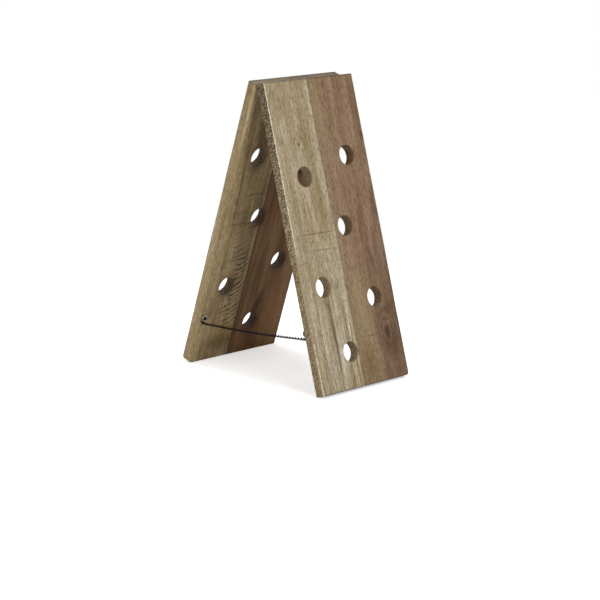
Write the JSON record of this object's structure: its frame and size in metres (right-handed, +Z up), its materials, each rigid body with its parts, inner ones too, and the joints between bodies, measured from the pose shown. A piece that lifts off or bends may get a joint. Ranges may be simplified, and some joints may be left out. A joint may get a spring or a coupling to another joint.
{
  "type": "folding wine rack",
  "caption": "Folding A-frame wine rack: two hinged solid wood leaves with staggered round bottle holes, held open by a stay chain.",
  "frame": {"origin": "middle of the footprint, on the surface that the open rack stands on", "axes": "+X across the rack to the right seen from the front leaf, +Y from the front leaf to the rear leaf, +Z up"},
  "size_m": [0.23, 0.3604, 0.5412],
  "materials": {
    "pale_wood": "greyed pale hardwood, sanded and matt",
    "brown_wood": "red-brown hardwood, sanded and matt",
    "dowel_wood": "plain beech",
    "hinge_steel": "dull plated steel",
    "hinge_screw_steel": "dull plated steel",
    "dark_screw": "blackened steel",
    "washer_zinc": "zinc plated steel",
    "chain_steel": "blackened steel, worn on the high spots"
  },
  "bodies": {
    "front_leaf": {"front_left_plank": "pale_wood", "front_right_plank": "brown_wood", "front_dowels": "dowel_wood", "left_hinge_front_plate": "hinge_steel", "right_hinge_front_plate": "hinge_steel", "left_hinge_pin": "hinge_steel", "right_hinge_pin": "hinge_steel", "front_hinge_screws": "hinge_screw_steel", "front_chain_screw": "dark_screw", "front_chain_washer": "washer_zinc"},
    "rear_leaf": {"rear_left_plank": "pale_wood", "rear_right_plank": "brown_wood", "rear_dowels": "dowel_wood", "left_hinge_rear_plate": "hinge_steel", "right_hinge_rear_plate": "hinge_steel", "rear_hinge_screws": "hinge_screw_steel", "rear_chain_screw": "dark_screw", "rear_chain_washer": "washer_zinc"},
    "front_chain_end": {"front_end_link": "chain_steel"},
    "rear_chain_end": {"rear_end_link": "chain_steel"},
    "front_chain_half": {"front_chain": "chain_steel"},
    "rear_chain_half": {"rear_chain": "chain_steel"}
  },
  "joints": [
    {"name": "leaf_fold", "type": "hinge", "parent": "front_leaf", "child": "rear_leaf", "pos_m": [0, 0, 0.53135], "axis": [1, 0, 0], "range_deg": [-32.35, 0]},
    {"name": "front_end_turn", "type": "hinge", "parent": "front_leaf", "child": "front_chain_end", "pos_m": [-0.107, -0.12906, 0.10873], "axis": [0, -0.9573, 0.289], "range_deg": [0, 118.34]},
    {"name": "rear_end_turn", "type": "hinge", "parent": "rear_leaf", "child": "rear_chain_end", "pos_m": [-0.107, 0.13426, 0.0915], "axis": [0, -0.9573, -0.289], "range_deg": [0, 88.82]},
    {"name": "front_chain_swing", "type": "hinge", "parent": "front_chain_end", "child": "front_chain_half", "pos_m": [-0.107, -0.12817, 0.09764], "axis": [-0.9925, -0.0105, -0.1214], "range_deg": [0, 101.62]},
    {"name": "rear_chain_swing", "type": "hinge", "parent": "rear_chain_end", "child": "rear_chain_half", "pos_m": [-0.107, 0.13338, 0.08041], "axis": [0.9925, -0.0055, -0.1217], "range_deg": [0, 109.11]}
  ],
  "couplings": [
    {"joint": "front_end_turn", "follows": "leaf_fold", "ratio": -3.6519},
    {"joint": "rear_end_turn", "follows": "leaf_fold", "ratio": -2.7394},
    {"joint": "front_chain_swing", "follows": "leaf_fold", "ratio": -3.1352},
    {"joint": "rear_chain_swing", "follows": "leaf_fold", "ratio": -3.3667}
  ]
}
